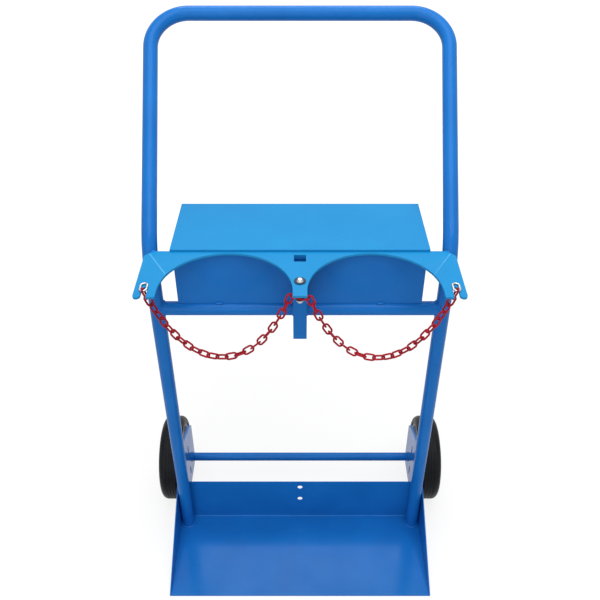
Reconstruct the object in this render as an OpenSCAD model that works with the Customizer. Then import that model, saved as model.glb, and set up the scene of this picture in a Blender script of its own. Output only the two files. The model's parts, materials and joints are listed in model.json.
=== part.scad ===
// Two-cylinder gas trolley with a lidded toolbox, two restraint chains and two wheels.
// Millimetres, +Z up. The origin is on the floor, midway between the legs.
// The cylinders stand at -Y, the handle leans back over +Y.

/* [Frame tube] */
// Outside diameter of the bent frame tube
tube_d = 28; // [24:1:34]
// Wall of the frame tube
tube_wall = 2; // [1.5:0.5:3]
// Distance from the side edge of the yoke in to the axis of a leg
leg_inset = 5; // [2:0.5:10]
// Height above the floor where the leg axis and the handle axis meet
bend_z = 774; // [700:1:850]
// Length of a handle side, from that point to the axis of the top bar
handle_len = 483; // [400:1:560]
// Lean of the handle, back from upright
handle_lean = 50; // [40:1:60]
// How far each handle side spreads outwards over its length
handle_splay = 20; // [0:1:40]
// Bend radius between leg and handle, at the tube axis
bend_r = 100; // [80:1:130]
// Bend radius of the two top corners, at the tube axis
corner_r = 70; // [50:1:100]

/* [Cross tube] */
// Outside diameter of the tube between the legs
cross_d = 27; // [22:1:30]
// Wall of the cross tube
cross_wall = 2; // [1.5:0.5:3]

/* [Cylinder yoke] */
// Thickness of the yoke plate
yoke_t = 4; // [3:0.5:6]
// Height of the yoke's top face above the bend in the legs
yoke_rise = 6; // [0:1:20]
// Width of the yoke over its two ears, which sets the width of the whole trolley
yoke_w = 546; // [500:1:600]
// Width of the middle prong between the two round seats
prong_w = 24; // [22:1:32]
// Width of an ear beside its seat
ear_w = 37; // [32:1:44]
// Width of the plate behind a seat, at its narrowest
bridge_w = 7; // [5:0.5:12]
// Length of the middle prong, from the yoke's back edge
prong_len = 134; // [126:1:150]
// Length of the ears, from the yoke's back edge
ear_len = 134; // [130:1:146]
// Chamfer on the two back corners
yoke_chamfer = 14; // [4:1:20]
// Width of the finger outside a chain slot
finger_w = 12.5; // [10:0.5:15]
// Width of a chain slot
slot_w = 10; // [9:0.5:11]
// Depth of a chain slot, from the tip of the ear
slot_depth = 28; // [25:1:32]
// Bend of the ears, down from the plate
ear_drop = 3; // [1:0.5:5]
// Distance from the yoke's side edge to the ear's crease, at the back edge
crease_inset = 4; // [2:0.5:6]
// How far a crease runs inwards
crease_run = 39; // [34:1:44]
// How far a crease runs forwards
crease_len = 67; // [60:1:75]

/* [Mast socket] */
// Outside width of the square socket tube
mast_w = 25; // [20:1:30]
// Wall of the socket tube
mast_wall = 2; // [1.5:0.5:3]
// Length of the socket tube below the yoke
mast_len = 168; // [140:1:220]

/* [Toolbox] */
// Room between the side of the toolbox body and the leg beside it
box_side_gap = 27.5; // [20:0.5:60]
// Depth of the toolbox body, front to back
box_d = 164; // [130:1:200]
// Height of the toolbox body's front wall
box_h = 109; // [80:1:115]
// Sheet thickness of the toolbox and its lid
sheet_t = 1.5; // [1:0.5:2]
// Width of the folded rim inside the toolbox mouth
rim_w = 8; // [4:1:14]
// Height of the lid's top face above the yoke
lid_rise = 4; // [4:0.5:8]
// Depth of the lid's side lips
lid_lip = 15; // [8:1:24]
// Depth of the lid's back lip, which carries the hinges
back_lip = 16; // [14:1:24]
// Gap between the lid and the toolbox body
lid_gap = 0.4; // [0.3:0.1:1]
// Room between the lid's side lips and the toolbox walls
lid_side_gap = 2; // [1:0.5:4]
// Overhang of the lid's front edge over the yoke
lid_front = 2; // [1:0.5:4]
// Height of the toolbox's foot, from the cross tube to the toolbox floor
foot_h = 8.6; // [5:0.2:20]
// Distance between the two tabs that carry the toolbox
tab_pitch = 300; // [200:1:400]
// Width of a tab
tab_w = 30; // [15:1:50]
// Thickness of a tab
tab_t = 10; // [6:1:14]

/* [Hinges] */
// Distance between the two hinges
hinge_pitch = 280; // [150:1:360]
// Width of a hinge
hinge_w = 60; // [40:1:80]
// Outside diameter of the hinge knuckles
knuckle_d = 8; // [7:0.5:9]
// Diameter of the hinge pin
pin_d = 5; // [4:0.5:5.5]
// Thickness of the hinge leaves
leaf_t = 1.5; // [1:0.5:2]
// Height of the lower hinge leaf
leaf_h = 22; // [16:1:40]
// Running clearance between pin and lid knuckle, on the radius
pin_gap = 0.05; // [0.03:0.01:0.1]
// Gap between neighbouring knuckles
knuckle_gap = 0.4; // [0.3:0.1:1]

/* [Base tray] */
// Distance that the tray reaches sideways past a leg
tray_side = 4; // [4:0.5:30]
// Sheet thickness of the tray
tray_t = 2; // [1.5:0.5:3]
// Reach of the tray in front of the legs
tray_front = 191; // [150:1:240]
// Distance from the leg axes back to the inner face of the back flange
flange_y = 20; // [18:0.5:20]
// Height of the back flange
flange_h = 126; // [90:1:150]
// Height of the side walls at the front edge
side_front_h = 5; // [3:1:20]
// Inside radius of the fold between floor and flange
fold_r = 3; // [1:0.5:5]
// Diameter of the two holes in the flange
flange_hole_d = 12; // [6:0.5:16]
// Height of the lower hole
flange_hole_z = 66; // [40:1:70]
// Distance between the two holes
flange_hole_pitch = 41; // [30:1:45]

/* [Axle and wheels] */
// Diameter of the axle
axle_d = 20; // [16:1:22]
// Distance from the legs back to the axle
axle_y = 120; // [120:1:135]
// Wheel diameter
wheel_d = 200; // [190:2:200]
// Width of the tyre
tyre_w = 50; // [40:1:60]
// Radial thickness of the tyre
tyre_t = 18; // [16:1:34]
// Rounding of the tyre's shoulders
tyre_round = 14; // [6:1:16]
// Number of grooves round the tread
groove_count = 3; // [2:1:4]
// Distance between neighbouring grooves
groove_pitch = 7; // [5:0.5:8]
// Width of a groove
groove_w = 2; // [1:0.5:3]
// Depth of a groove
groove_depth = 1.5; // [1:0.5:3]
// Width of the wheel rim
rim_face_w = 44; // [36:1:50]
// Thickness of the rim's outer ring
rim_ring_t = 6; // [4:1:10]
// Outside diameter of the wheel hub
hub_d = 44; // [36:1:54]
// Length of the wheel hub
hub_len = 50; // [46:1:60]
// Thickness of the web between hub and ring
web_t = 8; // [5:1:12]
// Number of ribs on each side of the web
rib_count = 6; // [4:1:8]
// Thickness of a rib
rib_t = 5; // [3:1:8]
// Width of a rib along the axle
rib_w = 30; // [24:1:34]
// Outside diameter of the wheel bushes
bush_d = 27; // [25:1:32]
// Length of each bush
bush_len = 22; // [14:1:22]
// Width of the bush collar beyond the hub's bore
collar_w = 4; // [2:1:6]
// Thickness of the bush collar
collar_t = 2; // [1:0.5:3]
// Running clearance between axle and bush, on the radius
axle_gap = 0.05; // [0.03:0.01:0.1]
// Gap between the wheel and its washers
wheel_gap = 0.5; // [0.3:0.1:1]
// Thickness of the inner washers, which set the wheels off from the axle plates
spacer_t = 10; // [8:0.5:16]
// Thickness of the outer washers
washer_t = 3; // [2:0.5:4]
// Outside diameter of the axle washers
washer_d = 36; // [30:1:44]
// Thickness of the axle plates
plate_t = 5; // [4:0.5:8]
// Rise of the axle plates above the axle, at the legs
plate_rise = 152; // [130:1:180]
// Rise of the axle plates above the axle, at their back corner
plate_back_rise = 88; // [60:1:100]
// Reach of the axle plates behind the axle
plate_back = 33; // [28:1:60]
// Depth of the axle plates below the axle
plate_drop = 45; // [40:1:70]
// Cut on the two back corners of the axle plates
plate_corner = 12; // [6:1:16]
// Width of the two slots in each axle plate
plate_slot_w = 8; // [6:1:12]
// Length of those slots
plate_slot_len = 24; // [18:1:30]
// Distance from the axle forward to the two slots
plate_slot_in = 35; // [30:1:50]
// Rise of the lower slot's middle from the axle
plate_slot_rise = -8; // [-15:1:0]
// Distance between the middles of the two slots
plate_slot_pitch = 72; // [60:1:80]
// Diameter of the split pins
split_d = 4; // [3:0.5:5]
// Length of an axle end beyond its outer washer
axle_tail = 8; // [7:1:16]

/* [Chains] */
// Wire diameter of the chain links
wire_d = 3.5; // [3:0.1:4]
// Inside width of a link
link_w = 7.6; // [7.2:0.1:8.4]
// Inside length of a link
link_len = 17; // [16.6:0.1:20]
// Gap between neighbouring links at rest
link_gap = 0.5; // [0.4:0.05:0.7]
// Links that hang free in each chain, an even number
link_count = 24; // [22:2:30]
// Twist of the chain at a quarter of its length, and the other way at three quarters
chain_twist = 35; // [0:1:60]
// Distance from the tip of an ear back to where the chain hangs
hang_inset = 15; // [14:0.5:17]
// Distance from the middle of a slot out to where the chain hangs
hang_out = 1.75; // [1:0.25:2.5]

/* [Chain bolt] */
// Diameter of the chain bolt
bolt_d = 6; // [5:0.5:6.5]
// Diameter of the bolt's round head
bolt_head_d = 12; // [10:0.5:14]
// Height of the bolt head
bolt_head_h = 3.5; // [2:0.5:5]
// Diameter of the flat on top of the bolt head
bolt_flat_d = 7; // [5:0.5:9]
// Free length of the bolt between its upper nut and the anchor links
bolt_free = 18; // [0:0.5:30]
// Length of the bolt's end below its last nut
bolt_tail = 2; // [1:0.5:5]
// Distance from the yoke's back edge to the bolt
bolt_reach = 93; // [85:1:100]
// Clearance between bolt and hole, on the radius
bolt_gap = 0.3; // [0.2:0.1:0.5]
// Outside diameter of the washer on top of the yoke
bolt_washer_d = 20; // [16:1:22]
// Outside diameter of the washer below the anchor links
low_washer_d = 14; // [12:0.5:15]
// Thickness of the bolt washers
bolt_washer_t = 1.6; // [1:0.2:2.4]
// Width of the nuts across their flats
nut_af = 10; // [10:0.5:12]
// Height of the nuts
nut_h = 5; // [5:0.5:7]

/* [Hidden] */
$fn = 96;
// Seating gap between touching pieces of curved form
seat_gap = 0.2;
// Gap round a leg in its hole in the tray, on the radius
foot_gap = 0.1;
// Overrun of cutting solids past the faces that they cut
over = 1;

blue = [0.07, 0.33, 0.75];
light_blue = [0.13, 0.5, 0.87];
red = [0.72, 0.1, 0.14];
zinc = [0.66, 0.67, 0.68];
dark = [0.16, 0.17, 0.19];
black = [0.06, 0.06, 0.065];
grey = [0.62, 0.63, 0.65];
white = [0.88, 0.87, 0.83];

// Frame
leg_x = yoke_w / 2 - leg_inset;
top_x = leg_x + handle_splay;
top_y = handle_len * sin(handle_lean);
top_z = bend_z + handle_len * cos(handle_lean);
// The hoop lies in one plane: across the trolley and down the leaning handle
hoop_down = [0, -sin(handle_lean), -cos(handle_lean)];
hoop_normal = cross([1, 0, 0], hoop_down);
corner_turn = 90 + atan(handle_splay / handle_len);
corner_setback = corner_r * tan(corner_turn / 2);
side_len = norm([handle_splay, handle_len]);
side_dir = (hoop_down * handle_len - [handle_splay, 0, 0]) / side_len;
bend_turn = acos(-side_dir[2]);
bend_setback = bend_r * tan(bend_turn / 2);
bend_heading = atan2(-side_dir[1], -side_dir[0]);
bend_start_z = bend_z - bend_setback;

// Yoke: its back edge meets the front of the bends
yoke_z = bend_z + yoke_rise;
yoke_under = yoke_z - yoke_t;
bend_front_r = bend_r + tube_d / 2;
yoke_back = bend_r - bend_front_r * cos(asin((yoke_under - bend_start_z) / bend_front_r)) - seat_gap;
seat_d = (yoke_w - prong_w) / 2 - ear_w;
seat_x = (prong_w + seat_d) / 2;
seat_y = yoke_back - bridge_w - seat_d / 2;
prong_y = yoke_back - prong_len;
ear_y = yoke_back - ear_len;
ear_x = yoke_w / 2;
slot_x = ear_x - finger_w - slot_w / 2;
// Each ear turns about its crease, at half the thickness of the plate
crease_back = [ear_x - crease_inset, yoke_back, yoke_z - yoke_t / 2];
crease_dir = unit([-crease_run, -crease_len, 0]);
// Lap of plate and ear over the crease
crease_lap = 1;

// Mast socket, against the front of the cross tube
mast_y = -(cross_d + mast_w) / 2;
mast_bore = mast_w - 2 * mast_wall;

// Toolbox and lid
box_w = 2 * (leg_x - box_side_gap) - tube_d;
box_front = yoke_back;
box_back = box_front + box_d;
lid_z = yoke_z + lid_rise;
box_rim_z = lid_z - sheet_t - lid_gap;
box_z = box_rim_z - box_h;
split_z = lid_z - back_lip;
cross_top = box_z - foot_h;
cross_z = cross_top - cross_d / 2;
lid_w = box_w + 2 * (lid_side_gap + sheet_t);
front_lip = lid_rise - lid_gap;

// Hinges, with their axis behind the toolbox's back wall
hinge_y = box_back + knuckle_d / 2 + lid_gap;
hinge_mid = hinge_w / 3;
hinge_leaf_out = hinge_y - box_back;
leaf_clear = knuckle_d / 2 + lid_gap;

// Tray
tray_x = leg_x + tube_d / 2 + tray_side;
tray_back = flange_y + tray_t;

// Axle, plates and wheels
axle_z = wheel_d / 2;
plate_x = leg_x;
plate_face = plate_x + plate_t / 2;
hub_start = plate_face + spacer_t + wheel_gap;
hub_end = hub_start + hub_len;
wheel_x = hub_start + hub_len / 2;
outer_washer_x = hub_end + wheel_gap;
split_x = outer_washer_x + washer_t + split_d / 2 + seat_gap;
axle_end = outer_washer_x + washer_t + axle_tail;
rim_r = wheel_d / 2 - tyre_t;
hub_bore = bush_d;

// Chain bolt stack, from the underside of the yoke downwards
bolt_y = yoke_back - bolt_reach;
link_seat = (wire_d + link_gap) / 2;
anchor_z = yoke_under - nut_h - bolt_free - link_seat;
anchor_step = wire_d + link_gap;
low_washer_z = anchor_z - anchor_step - link_seat - bolt_washer_t;
low_nut_z = low_washer_z - nut_h;
bolt_end_z = low_nut_z - bolt_tail;

// Chains: each hangs from an anchor link on the bolt to a flat link on the ear
link_r = (link_w + wire_d) / 2;
link_straight = link_len - link_w;
link_pitch = link_len - link_gap;
hang_x = slot_x + hang_out;
hang_y = ear_y + hang_inset;
flat_link_z = yoke_z + wire_d / 2 + seat_gap;
anchor_out = link_len - bolt_d / 2 - bolt_gap + wire_d / 2;
anchor_mid = link_len / 2 - bolt_d / 2 - bolt_gap;
chain_to = ear_point([hang_x, hang_y, flat_link_z + link_seat]);
chain_way = unit([chain_to[0], chain_to[1] - bolt_y, 0]);
chain_side = cross([0, 0, 1], chain_way);
chain_from = [0, bolt_y, 0] + chain_way * anchor_out;
chain_span = norm([chain_to[0] - chain_from[0], chain_to[1] - chain_from[1]]);

// Vectors, frames and sums
function unit(v) = v / norm(v);
function total(v) = len(v) == 0 ? 0 : v * [for (x = v) 1];
function firsts(v, n) = [for (i = [0:1:n - 1]) v[i]];
function axes(o, x, y) = let (z = cross(x, y)) [
    [x[0], y[0], z[0], o[0]],
    [x[1], y[1], z[1], o[1]],
    [x[2], y[2], z[2], o[2]],
    [0, 0, 0, 1]
];

// Vector turned about a unit axis
function turned(v, axis, angle) =
    v * cos(angle) + cross(axis, v) * sin(angle) + axis * (axis * v) * (1 - cos(angle));

// Point of the flat right ear, after the ear is bent
function ear_point(p) = crease_back + turned(p - crease_back, crease_dir, -ear_drop);

// Value between low and high where a rising function reaches zero
function root(f, low, high, steps = 36) =
    let (mid = (low + high) / 2)
    steps == 0 ? mid : f(mid) > 0 ? root(f, low, mid, steps - 1) : root(f, mid, high, steps - 1);

// Bend of round bar that starts at the origin along Z and turns towards X
module bend(r, angle, d) {
    multmatrix(axes([r, 0, 0], [-1, 0, 0], [0, 0, 1]))
        rotate_extrude(angle = angle)
            translate([r, 0])
                circle(d = d);
}

// Straight tube along Z
module tube(length, d, wall) {
    difference() {
        cylinder(d = d, h = length);
        translate([0, 0, -over])
            cylinder(d = d - 2 * wall, h = length + 2 * over);
    }
}

// Bar with its axis along X, from x1 to x2
module bar_x(x1, x2, d) {
    translate([x1, 0, 0])
        rotate([0, 90, 0])
            cylinder(d = d, h = x2 - x1);
}

// Washer or sleeve with its axis along X
module ring_x(x1, x2, d, bore) {
    difference() {
        bar_x(x1, x2, d);
        bar_x(x1 - over, x2 + over, bore);
    }
}

// Plate with an outline drawn in Y and Z, from x1 to x2
module side_plate(x1, x2) {
    translate([x1, 0, 0])
        rotate([90, 0, 90])
            linear_extrude(x2 - x1)
                children();
}

// Copies on the left and on the right
module both_sides() {
    children();
    mirror([1, 0, 0])
        children();
}

// Leg with the bend at its top, from the foot upwards
module leg_bar(d, extra) {
    translate([leg_x, 0, bend_start_z])
        rotate([0, 0, bend_heading]) {
            mirror([0, 0, 1])
                cylinder(d = d, h = bend_start_z + extra);
            bend(bend_r, bend_turn + extra, d);
        }
}

module leg() {
    color(blue)
        difference() {
            leg_bar(tube_d, 0);
            leg_bar(tube_d - 2 * tube_wall, over);
        }
}

module right_leg() {
    leg();
}

module left_leg() {
    mirror([1, 0, 0])
        leg();
}

// Straight side of the handle, between the bend in the leg and the top corner
module handle_side() {
    foot = [leg_x, 0, bend_z] - side_dir * bend_setback;
    color(blue)
        multmatrix(axes(foot, hoop_normal, cross(-side_dir, hoop_normal)))
            tube(side_len - corner_setback - bend_setback, tube_d, tube_wall);
}

module right_handle_side() {
    handle_side();
}

module left_handle_side() {
    mirror([1, 0, 0])
        handle_side();
}

// Top bar with its two corners, drawn from the middle of the bar outwards
module top_bar(d, extra) {
    half = top_x - corner_setback;
    both_sides() {
        bar_x(0, half, d);
        translate([half, 0, 0])
            rotate([0, 90, 0])
                bend(corner_r, corner_turn + extra, d);
    }
}

module handle_top() {
    color(blue)
        multmatrix(axes([0, top_y, top_z], [1, 0, 0], hoop_normal))
            difference() {
                top_bar(tube_d, 0);
                top_bar(tube_d - 2 * tube_wall, over);
            }
}

module cross_tube() {
    color(blue)
        difference() {
            translate([0, 0, cross_z])
                ring_x(-leg_x, leg_x, cross_d, cross_d - 2 * cross_wall);
            both_sides()
                translate([leg_x, 0, cross_z - cross_d])
                    cylinder(d = tube_d, h = 2 * cross_d);
        }
}

// Right half of an outline, followed by its mirror image
function mirrored(half) = concat(half, [for (i = [len(half) - 1:-1:0]) [-half[i][0], half[i][1]]]);

// Points on an arc about a centre, from one angle to another
function arc(centre, r, from, to, steps = 12) =
    [for (i = [0:steps]) let (a = from + (to - from) * i / steps) centre + r * [cos(a), sin(a)]];

// Plate with its ears: each ear has a round outer finger and a slot that is open at the tip
module yoke_blank() {
    slot_r = slot_w / 2;
    finger_r = finger_w / 2;
    polygon(mirrored(concat(
        [[ear_x - yoke_chamfer, yoke_back], [ear_x, yoke_back - yoke_chamfer]],
        arc([ear_x - finger_r, ear_y + finger_r], finger_r, 0, -180),
        arc([slot_x, ear_y + slot_depth - slot_r], slot_r, 0, 180),
        [[slot_x - slot_r, ear_y], [seat_x, ear_y], [seat_x, prong_y]]
    )));
}

module yoke_cuts() {
    both_sides() {
        translate([seat_x, seat_y])
            circle(d = seat_d);
        translate([seat_x - seat_d / 2, seat_y - yoke_w])
            square([seat_d, yoke_w]);
    }
    translate([-mast_bore / 2, mast_y - mast_bore / 2])
        square(mast_bore);
    translate([0, bolt_y])
        circle(d = bolt_d + 2 * bolt_gap);
}

module yoke_plan() {
    difference() {
        yoke_blank();
        yoke_cuts();
    }
}

// Area outside the right crease, moved inwards by a lap
module ear_area(lap) {
    translate([crease_back[0], crease_back[1]])
        rotate(atan2(crease_dir[1], crease_dir[0]))
            translate([-yoke_w, -lap])
                square([2 * yoke_w, yoke_w]);
}

module on_ear() {
    translate(crease_back)
        rotate(a = -ear_drop, v = crease_dir)
            translate(-crease_back)
                children();
}

module yoke_sheet() {
    translate([0, 0, yoke_under])
        linear_extrude(yoke_t)
            children();
}

module cylinder_yoke() {
    color(light_blue) {
        yoke_sheet()
            difference() {
                yoke_plan();
                both_sides()
                    ear_area(-crease_lap);
            }
        both_sides()
            on_ear()
                yoke_sheet()
                    intersection() {
                        yoke_plan();
                        ear_area(crease_lap);
                    }
    }
}

module mast_socket() {
    color(blue)
        translate([0, mast_y, yoke_under - mast_len])
            linear_extrude(mast_len)
                difference() {
                    square(mast_w, center = true);
                    square(mast_bore, center = true);
                }
}

module toolbox_body() {
    inner_w = box_w - 2 * sheet_t;
    inner_d = box_d - 2 * sheet_t;
    back_top = split_z - lid_gap / 2;
    color(blue)
        difference() {
            union() {
                translate([-box_w / 2, box_front, box_z])
                    cube([box_w, box_d, box_h]);
                translate([-box_w / 2, box_front, cross_top])
                    cube([box_w, sheet_t, box_z - cross_top]);
            }
            translate([-inner_w / 2, box_front + sheet_t, box_z + sheet_t])
                cube([inner_w, inner_d, box_h - 2 * sheet_t]);
            translate([-inner_w / 2 + rim_w, box_front + sheet_t + rim_w, box_z + sheet_t])
                cube([inner_w - 2 * rim_w, inner_d - rim_w, box_h]);
            translate([-inner_w / 2, box_back - 2 * sheet_t - rim_w, back_top])
                cube([inner_w, rim_w + 3 * sheet_t, box_h]);
            translate([-box_w / 2 - over, box_back - sheet_t, back_top])
                cube([box_w + 2 * over, 2 * sheet_t, box_h]);
        }
}

module toolbox_tabs() {
    color(blue)
        difference() {
            for (side = [-1, 1])
                translate([side * tab_pitch / 2 - tab_w / 2, box_front + sheet_t, cross_z])
                    cube([tab_w, tab_t, box_z - cross_z]);
            translate([0, 0, cross_z])
                bar_x(-leg_x, leg_x, cross_d);
        }
}

module toolbox_lid() {
    lid_front_y = box_front - lid_front;
    lid_d = box_back - lid_front_y;
    color(light_blue) {
        translate([-lid_w / 2, lid_front_y, lid_z - sheet_t])
            cube([lid_w, lid_d, sheet_t]);
        translate([-lid_w / 2, lid_front_y, lid_z - front_lip])
            cube([lid_w, sheet_t, front_lip]);
        translate([-lid_w / 2, box_back - sheet_t, split_z + lid_gap / 2])
            cube([lid_w, sheet_t, back_lip - lid_gap / 2]);
        both_sides()
            side_plate(lid_w / 2 - sheet_t, lid_w / 2)
                polygon([
                    [lid_front_y, lid_z],
                    [box_back, lid_z],
                    [box_back, lid_z - lid_lip],
                    [box_front + lid_lip, lid_z - lid_lip],
                    [box_front + lid_gap, lid_z - front_lip],
                    [lid_front_y, lid_z - front_lip]
                ]);
    }
}

// One hinge leaf: a plate on the wall and the knuckles that its share of the width holds
module hinge_leaf(height, spans, bore) {
    translate([0, hinge_y, split_z])
        difference() {
            union() {
                for (span = spans) {
                    bar_x(span[0], span[1], knuckle_d);
                    translate([span[0], -hinge_leaf_out, 0])
                        cube([span[1] - span[0], leaf_t, leaf_clear + leaf_t]);
                }
                translate([-hinge_w / 2, -hinge_leaf_out, leaf_clear])
                    cube([hinge_w, leaf_t, height - leaf_clear]);
            }
            bar_x(-hinge_w, hinge_w, bore);
        }
}

module at_hinges() {
    for (side = [-1, 1])
        translate([side * hinge_pitch / 2, 0, 0])
            children();
}

module hinge_body_leaves() {
    inner = hinge_mid / 2;
    color(zinc)
        at_hinges()
            translate([0, 0, 2 * split_z])
                mirror([0, 0, 1])
                    hinge_leaf(leaf_h, [[-hinge_w / 2, -inner], [inner, hinge_w / 2]], pin_d);
}

module hinge_lid_leaves() {
    inner = hinge_mid / 2 - knuckle_gap;
    color(zinc)
        at_hinges()
            hinge_leaf(back_lip - sheet_t, [[-inner, inner]], pin_d + 2 * pin_gap);
}

module hinge_pins() {
    color(zinc)
        at_hinges()
            translate([0, hinge_y, split_z])
                bar_x(-hinge_w / 2, hinge_w / 2, pin_d);
}

module tray_profile() {
    bend_out = fold_r + tray_t;
    translate([-tray_front, 0])
        square([tray_front + flange_y - fold_r, tray_t]);
    translate([flange_y, bend_out])
        square([tray_t, flange_h - bend_out]);
    intersection() {
        translate([flange_y - fold_r, bend_out])
            difference() {
                circle(r = bend_out);
                circle(r = fold_r);
            }
        translate([flange_y - fold_r, 0])
            square(bend_out);
    }
}

module base_tray() {
    color(blue)
        difference() {
            union() {
                side_plate(-tray_x, tray_x)
                    tray_profile();
                both_sides()
                    side_plate(tray_x - tray_t, tray_x)
                        polygon([
                            [-tray_front, 0],
                            [flange_y - fold_r, 0],
                            [tray_back, fold_r + tray_t],
                            [tray_back, flange_h],
                            [-tray_front, side_front_h]
                        ]);
            }
            both_sides()
                translate([leg_x, 0, -over])
                    cylinder(d = tube_d + 2 * foot_gap, h = tray_t + 2 * over);
            for (i = [0, 1])
                translate([0, flange_y - over, flange_hole_z + i * flange_hole_pitch])
                    rotate([-90, 0, 0])
                        cylinder(d = flange_hole_d, h = tray_t + 2 * over);
        }
}

module plate_outline() {
    plate_low = axle_z - plate_drop;
    plate_end = axle_y + plate_back;
    polygon([
        [0, axle_z + plate_rise],
        [plate_end - plate_corner, axle_z + plate_back_rise],
        [plate_end, axle_z + plate_back_rise - plate_corner],
        [plate_end, plate_low + plate_corner],
        [plate_end - plate_corner, plate_low],
        [tray_back, plate_low],
        [tray_back, flange_h + seat_gap],
        [0, flange_h + seat_gap]
    ]);
}

module plate_slot() {
    half = (plate_slot_len - plate_slot_w) / 2;
    for (end = [-half, half])
        translate([0, 0, end])
            bar_x(plate_x - plate_t, plate_x + plate_t, plate_slot_w);
    translate([plate_x - plate_t, -plate_slot_w / 2, -half])
        cube([2 * plate_t, plate_slot_w, 2 * half]);
}

module axle_plate() {
    color(blue)
        difference() {
            side_plate(plate_x - plate_t / 2, plate_face)
                plate_outline();
            translate([leg_x, 0, 0])
                cylinder(d = tube_d, h = bend_z);
            translate([0, axle_y, axle_z]) {
                bar_x(plate_x - plate_t, plate_x + plate_t, axle_d);
                for (i = [0, 1])
                    translate([0, -plate_slot_in, plate_slot_rise + i * plate_slot_pitch])
                        plate_slot();
            }
        }
}

module right_axle_plate() {
    axle_plate();
}

module left_axle_plate() {
    mirror([1, 0, 0])
        axle_plate();
}

module axle() {
    color(blue)
        translate([0, axle_y, axle_z])
            difference() {
                bar_x(-axle_end, axle_end, axle_d);
                both_sides()
                    translate([split_x, 0, -axle_d])
                        cylinder(d = split_d, h = 2 * axle_d);
            }
}

module inner_washers() {
    color(zinc)
        translate([0, axle_y, axle_z])
            both_sides()
                ring_x(plate_face, plate_face + spacer_t, washer_d, axle_d);
}

module outer_washers() {
    color(zinc)
        translate([0, axle_y, axle_z])
            both_sides()
                ring_x(outer_washer_x, outer_washer_x + washer_t, washer_d, axle_d);
}

// Split pin: a straight shank through the axle with a ring at its head
module split_pins() {
    shank = axle_d + 4 * split_d;
    color(zinc)
        both_sides()
            translate([split_x, axle_y, axle_z]) {
                translate([0, 0, -shank / 2])
                    cylinder(d = split_d, h = shank);
                translate([0, 0, shank / 2 + split_d])
                    rotate([90, 0, 90])
                        rotate_extrude()
                            translate([split_d, 0])
                                circle(d = split_d);
            }
}

module tyre_section() {
    half = tyre_w / 2;
    r_out = wheel_d / 2;
    difference() {
        union() {
            translate([rim_r, -half])
                square([tyre_t - tyre_round, tyre_w]);
            translate([rim_r, -half + tyre_round])
                square([tyre_t, tyre_w - 2 * tyre_round]);
            for (side = [-1, 1])
                translate([r_out - tyre_round, side * (half - tyre_round)])
                    circle(r = tyre_round);
        }
        translate([0, -tyre_w])
            square([rim_r, 2 * tyre_w]);
        for (i = [0:groove_count - 1])
            translate([r_out - groove_depth, (i - (groove_count - 1) / 2) * groove_pitch - groove_w / 2])
                square([groove_depth + over, groove_w]);
    }
}

module at_wheel() {
    translate([wheel_x, axle_y, axle_z])
        children();
}

module tyre() {
    color(black)
        at_wheel()
            rotate([0, 90, 0])
                rotate_extrude()
                    tyre_section();
}

module rim() {
    rib_in = hub_d / 2 - over;
    rib_out = rim_r - rim_ring_t + over;
    color(grey)
        at_wheel()
            difference() {
                union() {
                    ring_x(-rim_face_w / 2, rim_face_w / 2, 2 * rim_r, 2 * (rim_r - rim_ring_t));
                    bar_x(-web_t / 2, web_t / 2, 2 * rim_r - rim_ring_t);
                    bar_x(-hub_len / 2 + collar_t, hub_len / 2 - collar_t, hub_d);
                    for (i = [0:rib_count - 1])
                        rotate([i * 360 / rib_count, 0, 0])
                            translate([-rib_w / 2, -rib_t / 2, rib_in])
                                cube([rib_w, rib_t, rib_out - rib_in]);
                }
                bar_x(-hub_len, hub_len, hub_bore);
            }
}

module bushes() {
    bore = axle_d + 2 * axle_gap;
    color(white)
        at_wheel()
            for (turn = [0, 180])
                rotate([0, 0, turn])
                    translate([hub_len / 2, 0, 0])
                        difference() {
                            union() {
                                bar_x(-bush_len, 0, bush_d);
                                bar_x(-collar_t, 0, bush_d + 2 * collar_w);
                            }
                            bar_x(-bush_len - over, over, bore);
                        }
}

module right_tyre() {
    tyre();
}

module right_rim() {
    rim();
}

module right_bushes() {
    bushes();
}

module left_tyre() {
    mirror([1, 0, 0])
        tyre();
}

module left_rim() {
    mirror([1, 0, 0])
        rim();
}

module left_bushes() {
    mirror([1, 0, 0])
        bushes();
}

module chain_bolt() {
    head_z = yoke_z + bolt_washer_t;
    color(zinc)
        translate([0, bolt_y, 0]) {
            translate([0, 0, bolt_end_z])
                cylinder(d = bolt_d, h = head_z - bolt_end_z);
            translate([0, 0, head_z])
                cylinder(d1 = bolt_head_d, d2 = bolt_flat_d, h = bolt_head_h);
        }
}

module chain_bolt_washers() {
    color(dark)
        for (washer = [[yoke_z, bolt_washer_d], [low_washer_z, low_washer_d]])
            translate([0, bolt_y, washer[0]])
                difference() {
                    cylinder(d = washer[1], h = bolt_washer_t);
                    translate([0, 0, -over])
                        cylinder(d = bolt_d, h = bolt_washer_t + 2 * over);
                }
}

module chain_bolt_nuts() {
    nut_d = nut_af / cos(30);
    color(zinc)
        for (z = [yoke_under - nut_h, low_nut_z])
            translate([0, bolt_y, z])
                difference() {
                    cylinder(d = nut_d, h = nut_h, $fn = 6);
                    translate([0, 0, -over])
                        cylinder(d = bolt_d, h = nut_h + 2 * over);
                }
}

// One oval link, along X, lying in X and Y
module link() {
    for (turn = [0, 180])
        rotate([0, 0, turn]) {
            translate([link_straight / 2, 0, 0])
                rotate([0, 0, -90])
                    rotate_extrude(angle = 180)
                        translate([link_r, 0])
                            circle(d = wire_d);
            translate([0, link_r, 0])
                bar_x(-link_straight / 2, link_straight / 2, wire_d);
        }
}

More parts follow.
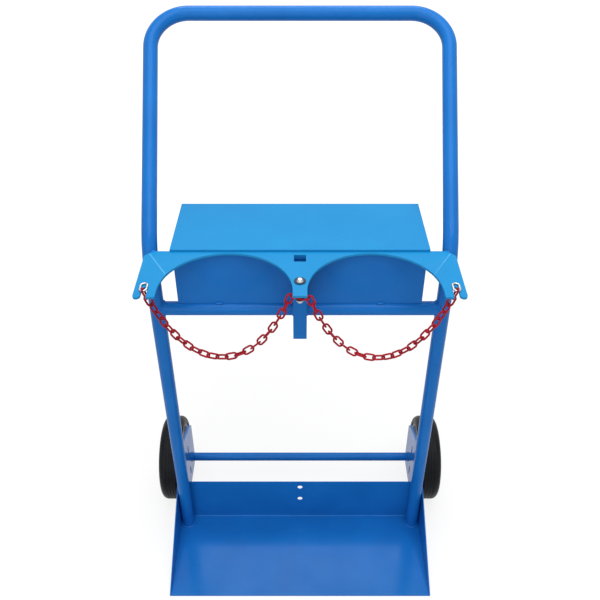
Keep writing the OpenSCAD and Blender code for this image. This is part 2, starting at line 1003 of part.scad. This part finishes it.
// Anchor links lie flat round the bolt, the left one above the right one
module chain_anchor_links() {
    color(red)
        for (right = [0, 1])
            mirror([1 - right, 0, 0])
                multmatrix(axes([0, bolt_y, anchor_z - right * anchor_step] + chain_way * anchor_mid,
                        chain_way, chain_side))
                    link();
}

// Ear links lie flat on the ears, across the slots
module chain_ear_links() {
    color(zinc)
        both_sides()
            on_ear()
                translate([hang_x, hang_y + (link_len + wire_d) / 2, flat_link_z])
                    rotate([0, 0, 90])
                        link();
}

// Slopes of a hanging chain of equal links: the slope grows by the same step from link to link
function chain_slopes(step, low) = [for (i = [0:link_count - 1]) atan(step * (i - low))];
function chain_run(slopes) = link_pitch * total([for (a = slopes) cos(a)]);
function chain_climb(slopes) = link_pitch * total([for (a = slopes) sin(a)]);
function chain_low(step, climb) =
    root(function(low) climb - chain_climb(chain_slopes(step, low)), 0, link_count);
function chain_step(climb) =
    root(function(step) chain_span - chain_run(chain_slopes(step, chain_low(step, climb))), 0.001, 4);

module chain(start_z) {
    climb = chain_to[2] - start_z;
    step = chain_step(climb);
    slopes = chain_slopes(step, chain_low(step, climb));
    color(red)
        for (i = [0:link_count - 1]) {
            before = firsts(slopes, i);
            along = chain_run(before) + link_pitch / 2 * cos(slopes[i]);
            up = chain_climb(before) + link_pitch / 2 * sin(slopes[i]);
            dir = chain_way * cos(slopes[i]) + [0, 0, sin(slopes[i])];
            rise = cross(dir, chain_side);
            turn = 90 * i + chain_twist * sin(360 * i / (link_count - 1));
            middle = [chain_from[0], chain_from[1], start_z] + chain_way * along + [0, 0, up];
            multmatrix(axes(middle, dir, rise * cos(turn) + chain_side * sin(turn)))
                link();
        }
}

module right_chain() {
    chain(anchor_z - anchor_step + link_seat);
}

module left_chain() {
    mirror([1, 0, 0])
        chain(anchor_z + link_seat);
}

left_leg();
right_leg();
left_handle_side();
right_handle_side();
handle_top();
cross_tube();
cylinder_yoke();
mast_socket();
toolbox_body();
toolbox_tabs();
toolbox_lid();
hinge_body_leaves();
hinge_lid_leaves();
hinge_pins();
base_tray();
left_axle_plate();
right_axle_plate();
axle();
inner_washers();
outer_washers();
split_pins();
left_tyre();
left_rim();
left_bushes();
right_tyre();
right_rim();
right_bushes();
chain_bolt();
chain_bolt_washers();
chain_bolt_nuts();
chain_anchor_links();
chain_ear_links();
left_chain();
right_chain();
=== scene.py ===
"""Looks of the two-cylinder gas trolley, built round its solids.

Metres, +Z up, in the part's own frame.
"""

import json
import math

import bmesh
import bpy
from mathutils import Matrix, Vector


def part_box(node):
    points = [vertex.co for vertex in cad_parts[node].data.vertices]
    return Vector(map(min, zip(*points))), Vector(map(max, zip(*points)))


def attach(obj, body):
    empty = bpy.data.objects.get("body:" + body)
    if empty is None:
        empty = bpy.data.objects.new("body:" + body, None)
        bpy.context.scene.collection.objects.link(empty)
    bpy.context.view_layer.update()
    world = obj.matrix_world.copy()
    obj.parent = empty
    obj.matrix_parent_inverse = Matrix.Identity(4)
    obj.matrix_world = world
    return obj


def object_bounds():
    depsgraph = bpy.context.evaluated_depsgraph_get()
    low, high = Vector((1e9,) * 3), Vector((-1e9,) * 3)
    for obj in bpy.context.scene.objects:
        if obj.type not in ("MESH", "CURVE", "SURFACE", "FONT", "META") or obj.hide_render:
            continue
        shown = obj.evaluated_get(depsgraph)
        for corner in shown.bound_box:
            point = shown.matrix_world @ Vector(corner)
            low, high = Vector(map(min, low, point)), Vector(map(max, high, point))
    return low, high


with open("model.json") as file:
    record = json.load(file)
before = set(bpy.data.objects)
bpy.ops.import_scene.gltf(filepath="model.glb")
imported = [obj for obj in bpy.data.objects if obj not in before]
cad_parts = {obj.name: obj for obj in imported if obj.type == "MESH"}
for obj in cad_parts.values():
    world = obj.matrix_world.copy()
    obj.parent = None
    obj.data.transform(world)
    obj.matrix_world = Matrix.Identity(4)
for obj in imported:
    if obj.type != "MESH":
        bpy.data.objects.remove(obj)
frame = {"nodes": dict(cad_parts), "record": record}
cad_low, cad_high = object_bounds()
nodes = frame["nodes"]

# Camera, as the photograph was taken
CAMERA_PLACE = (0.0, -1.0775, 1.4702)
CAMERA_PITCH = math.radians(36.6)
CAMERA_LENS = 43.28
CAMERA_SENSOR = 36.0

# Lamps: name, place, target, width and height, power in watts
LAMPS = (
    ("overhead", (0.25, -0.7, 3.4), (0.0, 0.05, 0.6), (2.6, 2.6), 72.0),
    ("front_fill", (-0.8, -2.8, 1.6), (0.0, 0.05, 0.6), (2.0, 2.0), 21.0),
    ("back_panel", (0.0, 1.2, 2.4), (0.0, -0.1, 0.0), (1.3, 0.8), 16.0),
)
WORLD_LIGHT = 0.42

# Floor: its greys in the light that it gives back and as it is seen, and a glow that grows outwards
FLOOR_HALF = 30.0
FLOOR_DROP = 0.0002
FLOOR_GREY = (0.8, 0.8, 0.8, 1.0)
FLOOR_SEEN_GREY = (0.22, 0.22, 0.22, 1.0)
FLOOR_GLOW_REACH = (0.6, 2.0)
FLOOR_GLOW = (0.80, 1.0)

# Colours, linear
BLUE = (0.010, 0.162, 0.530)
BLUE_DEEP = (0.008, 0.142, 0.480)
BLUE_THIN = (0.035, 0.250, 0.640)
# Sky blues of the lid and yoke: the frame's blue painted lighter, as painted light on these
# up-facing panels
SKY_BLUE = (0.011, 0.255, 0.565)
SKY_BLUE_DEEP = (0.010, 0.238, 0.538)
# Lighter sky blue: thin paint on the panels' worn edges, and a painted highlight on the yoke's fold
# ridges
SKY_BLUE_THIN_AND_HIGHLIGHT = (0.130, 0.450, 0.730)
RED = (0.420, 0.014, 0.028)
RED_DEEP = (0.270, 0.008, 0.016)
RED_THIN = (0.520, 0.060, 0.070)
ZINC = (0.600, 0.600, 0.590)
ZINC_DULL = (0.420, 0.425, 0.430)
STEEL_DARK = (0.040, 0.058, 0.085)
STEEL_DARKER = (0.020, 0.030, 0.048)
RUBBER = (0.004, 0.005, 0.008)
RUBBER_DUSTY = (0.012, 0.012, 0.014)
RIM_GREY = (0.470, 0.480, 0.500)
RIM_GREY_DULL = (0.390, 0.400, 0.420)
BUSH_WHITE = (0.720, 0.700, 0.640)
BUSH_DULL = (0.580, 0.560, 0.510)

# Surface patterns, in cycles per metre
PAINT_TONE = 9.0
PAINT_WEAR = 160.0
PAINT_GLOSS = 14.0
PAINT_PEEL = 480.0
RUBBER_DUST = 28.0
RUBBER_GRAIN = 900.0
METAL_CRYSTALS = 420.0
METAL_GLOSS = 300.0
METAL_SCRATCHES = 1500.0
PLASTIC_MOTTLE = 60.0
PLASTIC_GRAIN = 1100.0

# Depth of the fine bumps, radius of worn edges, and how strongly paint and rubber reflect
GRAIN_DEPTH = 0.0002
RUBBER_GRAIN_DEPTH = 0.0003
WORN_EDGE_R = 0.0008
PAINT_SPECULAR = 0.10
RUBBER_SPECULAR = 0.10
PANEL_ROUGHNESS = 0.24

# Sockets of a Mix node: both values and the result
MIX_SOCKETS = {"VECTOR": (4, 5, 1), "RGBA": (6, 7, 2)}

# Weld beads
BEAD_R = 0.0026
BEAD_RIPPLE = 0.0034
BEAD_STEP = 0.0009
BEAD_SIDES = 10
BEAD_DEPTH = 0.16
BEAD_LIFT = BEAD_R * 0.4
BEAD_END = 0.35
BEAD_END_GROWTH = 0.22
AXLE_BEAD_R = BEAD_R * 0.8
SADDLE_POINTS = 72
PLATE_WELD = 0.024
PLATE_WELD_ABOVE_TRAY = 0.006
PLATE_WELD_BELOW_TOP = 0.03
MAST_WELD_HALF = 0.008

# Fold marks on the yoke, in a lighter blue that is a painted highlight along the folds
FOLD_R = 0.0020
FOLD_RISE = 0.0003
FOLD_LEAST = math.radians(1.0)
FOLD_MOST = math.radians(20.0)
FOLD_UPWARD = 0.9
SAME_PLACE = 1e-6

# Rivets of the hinges
RIVET_R = 0.0032
RIVET_H = 0.0014
RIVET_RINGS = 6
RIVET_SIDES = 24
RIVET_INSET = 0.010
RIVET_SHARE = 0.42
LEAF_T = 0.0015


def right_half(node):
    """Lowest and highest corner of what lies at +X in a node."""
    places = [vertex.co for vertex in nodes[node].data.vertices if vertex.co.x > 0]
    return (
        Vector([min(place[i] for place in places) for i in range(3)]),
        Vector([max(place[i] for place in places) for i in range(3)]),
    )


# Sizes read from the frame
leg_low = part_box("right_leg")[0]
plate_low, plate_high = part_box("right_axle_plate")
cross_low, cross_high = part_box("cross_tube")
yoke_low, yoke_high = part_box("cylinder_yoke")
mast_low, mast_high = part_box("mast_socket")
tray_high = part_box("base_tray")[1]
axle_low, axle_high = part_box("axle")
box_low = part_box("toolbox_body")[0]
pin_low, pin_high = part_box("hinge_pins")
tab_low, tab_high = right_half("toolbox_tabs")
LEG_X = (plate_low.x + plate_high.x) / 2
TUBE_R = LEG_X - leg_low.x
CROSS_R = (cross_high.z - cross_low.z) / 2
CROSS_Z = (cross_high.z + cross_low.z) / 2
AXLE_R = (axle_high.z - axle_low.z) / 2
AXLE_Y = (axle_high.y + axle_low.y) / 2
AXLE_Z = (axle_high.z + axle_low.z) / 2
TAB_X = (tab_low.x + tab_high.x) / 2
TAB_WELD_HALF = (tab_high.x - tab_low.x) / 4
HINGE_Z = (pin_low.z + pin_high.z) / 2
TRAY_FLOOR_Z = next(
    mount["pos_m"][2] for mount in frame["record"]["mounts"] if mount["name"] == "cylinder_floor"
)


def add_node(tree, kind, **values):
    """A shader node with its properties and its unlinked inputs set by name or number."""
    node = tree.nodes.new(kind)
    for key, value in values.items():
        if key == "inputs":
            for socket, setting in value.items():
                node.inputs[socket].default_value = setting
        else:
            setattr(node, key, value)
    return node


def bare_tree(owner, output_kind):
    """Node tree of a material or world, emptied, and its new output node."""
    owner.use_nodes = True
    tree = owner.node_tree
    tree.nodes.clear()
    return tree, add_node(tree, output_kind)


def start_material(name):
    """A material with its node tree and the one shader in it."""
    material = bpy.data.materials.new(name)
    tree, output = bare_tree(material, "ShaderNodeOutputMaterial")
    shader = add_node(tree, "ShaderNodeBsdfPrincipled")
    tree.links.new(shader.outputs["BSDF"], output.inputs["Surface"])
    return material, tree, shader


def noise(tree, scale, detail, roughness=0.5):
    """Noise in the part's own metres."""
    place = add_node(tree, "ShaderNodeTexCoord")
    texture = add_node(
        tree,
        "ShaderNodeTexNoise",
        inputs={"Scale": scale, "Detail": detail, "Roughness": roughness},
    )
    tree.links.new(place.outputs["Object"], texture.inputs["Vector"])
    return texture.outputs["Fac"]


def spread(tree, value, low, high, to_low, to_high):
    """Value taken from the range low to high over to the range to_low to to_high."""
    node = add_node(
        tree,
        "ShaderNodeMapRange",
        inputs={"From Min": low, "From Max": high, "To Min": to_low, "To Max": to_high},
    )
    tree.links.new(value, node.inputs["Value"])
    return node.outputs["Result"]


def mix(tree, kind, share, first, second):
    """Vector or colour between two; each is a colour value or another node's output."""
    node = add_node(tree, "ShaderNodeMix", data_type=kind)
    first_socket, second_socket, result = MIX_SOCKETS[kind]
    tree.links.new(share, node.inputs["Factor"])
    for value, socket in ((first, node.inputs[first_socket]), (second, node.inputs[second_socket])):
        if isinstance(value, tuple):
            socket.default_value = (*value, 1.0)
        else:
            tree.links.new(value, socket)
    return node.outputs[result]


def edge_share(tree, radius):
    """0 on flat and gently curved stretches, 1 on sharp edges, and a normal rounded only there."""
    rounded = add_node(tree, "ShaderNodeBevel", samples=4, inputs={"Radius": radius})
    geometry = add_node(tree, "ShaderNodeNewGeometry")
    dot = add_node(tree, "ShaderNodeVectorMath", operation="DOT_PRODUCT")
    tree.links.new(rounded.outputs["Normal"], dot.inputs[0])
    tree.links.new(geometry.outputs["Normal"], dot.inputs[1])
    share = spread(tree, dot.outputs["Value"], 0.97, 0.75, 0.0, 1.0)
    normal = mix(tree, "VECTOR", share, geometry.outputs["Normal"], rounded.outputs["Normal"])
    return share, normal


def bump(tree, height, strength, distance, normal=None):
    """Normal of a surface that a height raises by a distance."""
    node = add_node(tree, "ShaderNodeBump", inputs={"Strength": strength, "Distance": distance})
    tree.links.new(height, node.inputs["Height"])
    if normal is not None:
        tree.links.new(normal, node.inputs["Normal"])
    return node.outputs["Normal"]


def paint(name, colour, deep, edge_colour, roughness):
    """Sprayed paint: uneven tone, fine orange peel, and thin paint on the edges."""
    material, tree, shader = start_material(name)
    tone = spread(tree, noise(tree, PAINT_TONE, 4.0), 0.35, 0.65, 0.0, 1.0)
    body = mix(tree, "RGBA", tone, deep, colour)
    edge, rounded = edge_share(tree, WORN_EDGE_R)
    patchy = spread(tree, noise(tree, PAINT_WEAR, 3.0), 0.45, 0.7, 0.0, 0.7)
    worn = add_node(tree, "ShaderNodeMath", operation="MULTIPLY")
    tree.links.new(edge, worn.inputs[0])
    tree.links.new(patchy, worn.inputs[1])
    coat = mix(tree, "RGBA", worn.outputs[0], body, edge_colour)
    tree.links.new(coat, shader.inputs["Base Color"])
    uneven = noise(tree, PAINT_GLOSS, 1.0)
    gloss = spread(tree, uneven, 0.3, 0.7, roughness - 0.03, roughness + 0.04)
    tree.links.new(gloss, shader.inputs["Roughness"])
    peel = bump(tree, noise(tree, PAINT_PEEL, 2.0), 0.02, GRAIN_DEPTH, rounded)
    tree.links.new(peel, shader.inputs["Normal"])
    shader.inputs["Specular IOR Level"].default_value = PAINT_SPECULAR
    return material


def rubber(name):
    """Moulded solid tyre: matt, a little dusty in patches, with fine moulding grain."""
    material, tree, shader = start_material(name)
    dust = spread(tree, noise(tree, RUBBER_DUST, 6.0, 0.6), 0.4, 0.7, 0.0, 1.0)
    tree.links.new(mix(tree, "RGBA", dust, RUBBER, RUBBER_DUSTY), shader.inputs["Base Color"])
    tree.links.new(spread(tree, dust, 0.0, 1.0, 0.34, 0.52), shader.inputs["Roughness"])
    grain = bump(tree, noise(tree, RUBBER_GRAIN, 3.0), 0.18, RUBBER_GRAIN_DEPTH)
    tree.links.new(grain, shader.inputs["Normal"])
    shader.inputs["Specular IOR Level"].default_value = RUBBER_SPECULAR
    return material


def metal(name, colour, dull, roughness):
    """Plated or bare steel with a faint crystal pattern and fine scratches."""
    material, tree, shader = start_material(name)
    place = add_node(tree, "ShaderNodeTexCoord")
    crystals = add_node(tree, "ShaderNodeTexVoronoi", inputs={"Scale": METAL_CRYSTALS})
    tree.links.new(place.outputs["Object"], crystals.inputs["Vector"])
    grain = spread(tree, crystals.outputs["Distance"], 0.1, 0.8, 0.0, 1.0)
    tree.links.new(mix(tree, "RGBA", grain, colour, dull), shader.inputs["Base Color"])
    uneven = noise(tree, METAL_GLOSS, 4.0)
    gloss = spread(tree, uneven, 0.3, 0.7, roughness - 0.08, roughness + 0.1)
    tree.links.new(gloss, shader.inputs["Roughness"])
    scratches = bump(tree, noise(tree, METAL_SCRATCHES, 2.0), 0.08, GRAIN_DEPTH)
    tree.links.new(scratches, shader.inputs["Normal"])
    shader.inputs["Metallic"].default_value = 1.0
    return material


def plastic(name, colour, dull, roughness):
    """Moulded plastic: even colour with a soft mottle and a fine eroded grain."""
    material, tree, shader = start_material(name)
    mottle = spread(tree, noise(tree, PLASTIC_MOTTLE, 5.0), 0.35, 0.7, 0.0, 1.0)
    tree.links.new(mix(tree, "RGBA", mottle, colour, dull), shader.inputs["Base Color"])
    gloss = spread(tree, mottle, 0.0, 1.0, roughness, roughness + 0.12)
    tree.links.new(gloss, shader.inputs["Roughness"])
    grain = bump(tree, noise(tree, PLASTIC_GRAIN, 2.0), 0.12, GRAIN_DEPTH)
    tree.links.new(grain, shader.inputs["Normal"])
    return material


def mesh_object(name, shape, material, body):
    """Adds a bmesh as a piece that rides on a body and takes its finish from a slot."""
    data = bpy.data.meshes.new(name)
    bmesh.ops.recalc_face_normals(shape, faces=shape.faces)
    shape.to_mesh(data)
    shape.free()
    data.polygons.foreach_set("use_smooth", [True] * len(data.polygons))
    data.materials.append(material)
    piece = bpy.data.objects.new(name, data)
    bpy.context.scene.collection.objects.link(piece)
    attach(piece, body)


def along(points, closed, step):
    """Points a step apart along a polyline."""
    ends = points + [points[0]] if closed else points
    placed = []
    carry = 0.0
    for first, last in zip(ends, ends[1:]):
        length = (last - first).length
        at = carry
        while at < length:
            placed.append(first.lerp(last, at / length))
            at += step
        carry = at - length
    return placed


def add_bead(shape, points, closed=False, radius=BEAD_R, depth=BEAD_DEPTH):
    """Bead along a path: a tube that swells at every ripple, with tapered ends."""
    path = along(points, closed, BEAD_STEP)
    count = len(path)
    rings = []
    for i, point in enumerate(path):
        before = path[i - 1] if closed or i > 0 else path[i]
        after = path[(i + 1) % count] if closed or i < count - 1 else path[i]
        way = (after - before).normalized()
        side = way.orthogonal().normalized()
        over = way.cross(side)
        phase = i * BEAD_STEP / BEAD_RIPPLE % 1.0
        swell = radius * (1 + depth * (math.sqrt(1 - (2 * phase - 1) ** 2) - 0.5))
        if not closed:
            swell *= min(1.0, BEAD_END + BEAD_END_GROWTH * min(i, count - 1 - i))
        rings.append([
            shape.verts.new(point + swell * (math.cos(turn) * side + math.sin(turn) * over))
            for turn in (2 * math.pi * k / BEAD_SIDES for k in range(BEAD_SIDES))
        ])
    pairs = list(zip(rings, rings[1:]))
    if closed:
        pairs.append((rings[-1], rings[0]))
    for ring, following in pairs:
        shift = min(range(BEAD_SIDES), key=lambda k: (following[k].co - ring[0].co).length)
        for k in range(BEAD_SIDES):
            shape.faces.new((
                ring[k],
                ring[(k + 1) % BEAD_SIDES],
                following[(k + 1 + shift) % BEAD_SIDES],
                following[(k + shift) % BEAD_SIDES],
            ))
    if not closed:
        shape.faces.new(rings[0])
        shape.faces.new(rings[-1])


def circle(centre, radius, normal_axis, count=96):
    """Points on a circle about an axis of the frame, given by its letter."""
    a, b = {"x": ("y", "z"), "z": ("x", "y")}[normal_axis]
    points = []
    for i in range(count):
        turn = 2 * math.pi * i / count
        point = Vector(centre)
        setattr(point, a, getattr(point, a) + radius * math.cos(turn))
        setattr(point, b, getattr(point, b) + radius * math.sin(turn))
        points.append(point)
    return points


def cross_tube_saddle(side):
    """Line where an end of the cross tube meets the round of its leg."""
    saddle = []
    for i in range(SADDLE_POINTS):
        turn = 2 * math.pi * i / SADDLE_POINTS
        y = CROSS_R * math.cos(turn)
        reach = math.sqrt(max(0.0, TUBE_R ** 2 - y ** 2))
        saddle.append(Vector((side * (LEG_X - reach), y, CROSS_Z + CROSS_R * math.sin(turn))))
    return saddle


def weld_beads(material):
    """Beads where tubes, plates, yoke, socket and tray are joined, left and right."""
    shape = bmesh.new()
    for side in (-1, 1):
        foot = Vector((side * LEG_X, 0.0, TRAY_FLOOR_Z + BEAD_LIFT))
        add_bead(shape, circle(foot, TUBE_R + BEAD_R / 4, "z"), closed=True)
        add_bead(shape, cross_tube_saddle(side), closed=True)
        for face in (plate_low.x, plate_high.x):
            for z in (tray_high.z + PLATE_WELD_ABOVE_TRAY, plate_high.z - PLATE_WELD_BELOW_TOP):
                start = Vector((side * face, TUBE_R, z))
                add_bead(shape, [start, start + Vector((0.0, 0.0, PLATE_WELD))])
        axle = Vector((side * plate_low.x, AXLE_Y, AXLE_Z))
        add_bead(shape, circle(axle, AXLE_R, "x"), closed=True, radius=AXLE_BEAD_R)
        yoke_corner = Vector((side * (LEG_X - TUBE_R), yoke_high.y, yoke_high.z - BEAD_R / 2))
        add_bead(shape, [
            yoke_corner,
            yoke_corner + Vector((side * TUBE_R * 0.4, 0.0, 0.0)),
            yoke_corner + Vector((side * TUBE_R * 0.75, -TUBE_R * 0.35, 0.0)),
        ])
        tab = Vector((side * TAB_X, box_low.y - BEAD_LIFT, cross_high.z + BEAD_LIFT))
        half = Vector((TAB_WELD_HALF, 0.0, 0.0))
        add_bead(shape, [tab - half, tab + half])
    under_yoke = [
        Vector((x, y, yoke_low.z))
        for x, y in (
            (mast_low.x, mast_low.y),
            (mast_high.x, mast_low.y),
            (mast_high.x, mast_high.y),
            (mast_low.x, mast_high.y),
        )
    ]
    add_bead(shape, under_yoke, closed=True)
    half = Vector((0.0, 0.0, MAST_WELD_HALF))
    for x in (mast_low.x, mast_high.x):
        middle = Vector((x, mast_high.y, CROSS_Z))
        add_bead(shape, [middle - half, middle + half])
    mesh_object("weld_beads", shape, material, "frame")


def fold_marks(material):
    """Low ridges that the press left along the yoke's folds, coloured lighter than the panel as a
    painted highlight.
    """
    sheet = bmesh.new()
    sheet.from_mesh(nodes["cylinder_yoke"].data)
    bmesh.ops.remove_doubles(sheet, verts=sheet.verts, dist=SAME_PLACE)
    sink = Vector((0.0, 0.0, FOLD_R - FOLD_RISE))
    shape = bmesh.new()
    for edge in sheet.edges:
        faces = edge.link_faces
        if len(faces) != 2 or min(face.normal.z for face in faces) < FOLD_UPWARD:
            continue
        if FOLD_LEAST < edge.calc_face_angle() < FOLD_MOST:
            ends = [vertex.co - sink for vertex in edge.verts]
            add_bead(shape, ends, radius=FOLD_R, depth=0.0)
    sheet.free()
    mesh_object("fold_marks", shape, material, "frame")


def add_rivet(shape, foot):
    """Domed rivet head that stands on a face towards +Y."""
    rings = []
    for i in range(RIVET_RINGS):
        rise = math.pi / 2 * i / RIVET_RINGS
        r = RIVET_R * math.cos(rise)
        y = RIVET_H * math.sin(rise)
        rings.append([
            shape.verts.new(foot + Vector((r * math.cos(turn), y, r * math.sin(turn))))
            for turn in (2 * math.pi * k / RIVET_SIDES for k in range(RIVET_SIDES))
        ])
    top = shape.verts.new(foot + Vector((0.0, RIVET_H, 0.0)))
    for k in range(RIVET_SIDES):
        after = (k + 1) % RIVET_SIDES
        for ring, following in zip(rings, rings[1:]):
            shape.faces.new((ring[k], ring[after], following[after], following[k]))
        shape.faces.new((rings[-1][k], rings[-1][after], top))
    shape.faces.new(rings[0])


def hinge_rivets(name, node, end_z, body, material):
    """Rivets through both leaves of one node, two to a leaf, between its end and the pin."""
    low, high = right_half(node)
    leaf_face = low.y + LEAF_T
    z = end_z + (HINGE_Z - end_z) * RIVET_SHARE
    shape = bmesh.new()
    for side in (-1, 1):
        for x in (low.x + RIVET_INSET, high.x - RIVET_INSET):
            add_rivet(shape, Vector((side * x, leaf_face, z)))
    mesh_object(name, shape, material, body)


def make_camera():
    data = bpy.data.cameras.new("camera")
    data.lens = CAMERA_LENS
    data.sensor_width = CAMERA_SENSOR
    camera = bpy.data.objects.new("camera", data)
    camera.location = CAMERA_PLACE
    camera.rotation_euler = (math.pi / 2 - CAMERA_PITCH, 0.0, 0.0)
    bpy.context.scene.collection.objects.link(camera)
    bpy.context.scene.camera = camera


def seen_directly(tree):
    """1 for rays that show the background to the camera, in a reflection or through glass."""
    path = add_node(tree, "ShaderNodeLightPath")
    first = add_node(tree, "ShaderNodeMath", operation="MAXIMUM")
    both = add_node(tree, "ShaderNodeMath", operation="MAXIMUM")
    tree.links.new(path.outputs["Is Camera Ray"], first.inputs[0])
    tree.links.new(path.outputs["Is Glossy Ray"], first.inputs[1])
    tree.links.new(first.outputs[0], both.inputs[0])
    tree.links.new(path.outputs["Is Transmission Ray"], both.inputs[1])
    return both.outputs[0]


def show_as(tree, output, unseen, seen):
    """Gives an output one shader for the light it casts and another where it is seen."""
    choice = add_node(tree, "ShaderNodeMixShader")
    tree.links.new(seen_directly(tree), choice.inputs[0])
    tree.links.new(unseen.outputs[0], choice.inputs[1])
    tree.links.new(seen.outputs[0], choice.inputs[2])
    tree.links.new(choice.outputs[0], output.inputs["Surface"])


def floor_material():
    """Pale floor that shows as white and keeps a soft shadow."""
    material = bpy.data.materials.new("floor_white")
    tree, output = bare_tree(material, "ShaderNodeOutputMaterial")
    plain = add_node(tree, "ShaderNodeBsdfDiffuse", inputs={"Color": FLOOR_GREY})
    shaded = add_node(tree, "ShaderNodeBsdfDiffuse", inputs={"Color": FLOOR_SEEN_GREY})
    glow = add_node(tree, "ShaderNodeEmission")
    place = add_node(tree, "ShaderNodeTexCoord")
    away = add_node(tree, "ShaderNodeVectorMath", operation="LENGTH")
    tree.links.new(place.outputs["Object"], away.inputs[0])
    strength = spread(tree, away.outputs["Value"], *FLOOR_GLOW_REACH, *FLOOR_GLOW)
    tree.links.new(strength, glow.inputs["Strength"])
    lifted = add_node(tree, "ShaderNodeAddShader")
    tree.links.new(shaded.outputs[0], lifted.inputs[0])
    tree.links.new(glow.outputs[0], lifted.inputs[1])
    show_as(tree, output, plain, lifted)
    return material


def make_floor():
    shape = bmesh.new()
    bmesh.ops.create_grid(shape, x_segments=2, y_segments=2, size=FLOOR_HALF)
    data = bpy.data.meshes.new("floor")
    shape.to_mesh(data)
    shape.free()
    data.materials.append(floor_material())
    floor = bpy.data.objects.new("floor", data)
    floor.location.z = cad_low.z - FLOOR_DROP
    bpy.context.scene.collection.objects.link(floor)


def make_world():
    """White surroundings: soft light on the object, plain white where they are seen."""
    world = bpy.data.worlds.new("studio")
    bpy.context.scene.world = world
    tree, output = bare_tree(world, "ShaderNodeOutputWorld")
    light = add_node(tree, "ShaderNodeBackground", inputs={"Strength": WORLD_LIGHT})
    shown = add_node(tree, "ShaderNodeBackground", inputs={"Color": (1.0, 1.0, 1.0, 1.0)})
    show_as(tree, output, light, shown)


def area_light(name, place, target, size, power):
    data = bpy.data.lights.new(name, "AREA")
    data.shape = "RECTANGLE"
    data.size, data.size_y = size
    data.energy = power
    lamp = bpy.data.objects.new(name, data)
    lamp.location = place
    lamp.rotation_euler = (Vector(target) - Vector(place)).to_track_quat("-Z", "Y").to_euler()
    bpy.context.scene.collection.objects.link(lamp)


FINISHES = {
    "frame_paint": paint("frame_paint", BLUE, BLUE_DEEP, BLUE_THIN, 0.19),
    # Lid and yoke get a lighter copy of the frame blue: painted light from above
    "panel_paint": paint(
        "panel_paint", SKY_BLUE, SKY_BLUE_DEEP, SKY_BLUE_THIN_AND_HIGHLIGHT, PANEL_ROUGHNESS
    ),
    "chain_paint": paint("chain_paint", RED, RED_DEEP, RED_THIN, 0.38),
    "zinc_plate": metal("zinc_plate", ZINC, ZINC_DULL, 0.34),
    "dark_steel": metal("dark_steel", STEEL_DARK, STEEL_DARKER, 0.45),
    "tyre_rubber": rubber("tyre_rubber"),
    "rim_plastic": plastic("rim_plastic", RIM_GREY, RIM_GREY_DULL, 0.42),
    "bush_plastic": plastic("bush_plastic", BUSH_WHITE, BUSH_DULL, 0.4),
}

for part in frame["record"]["subparts"]:
    data = nodes[part["node"]].data
    data.materials.clear()
    data.materials.append(FINISHES[part["material_slot"]])

make_camera()
make_world()
for lamp in LAMPS:
    area_light(*lamp)
make_floor()

weld_beads(FINISHES["frame_paint"])
# The fold ridges are painted lighter than the yoke: a painted highlight along the folds
fold_marks(paint("fold_highlight_paint", SKY_BLUE_THIN_AND_HIGHLIGHT, SKY_BLUE, SKY_BLUE_THIN_AND_HIGHLIGHT, PANEL_ROUGHNESS))
for name, node, end_z, body in (
    ("hinge_rivets_body", "hinge_body_leaves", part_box("hinge_body_leaves")[0].z, "frame"),
    ("hinge_rivets_lid", "hinge_lid_leaves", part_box("hinge_lid_leaves")[1].z, "lid"),
):
    hinge_rivets(name, node, end_z, body, FINISHES["zinc_plate"])

bpy.context.scene.view_settings.view_transform = "Standard"
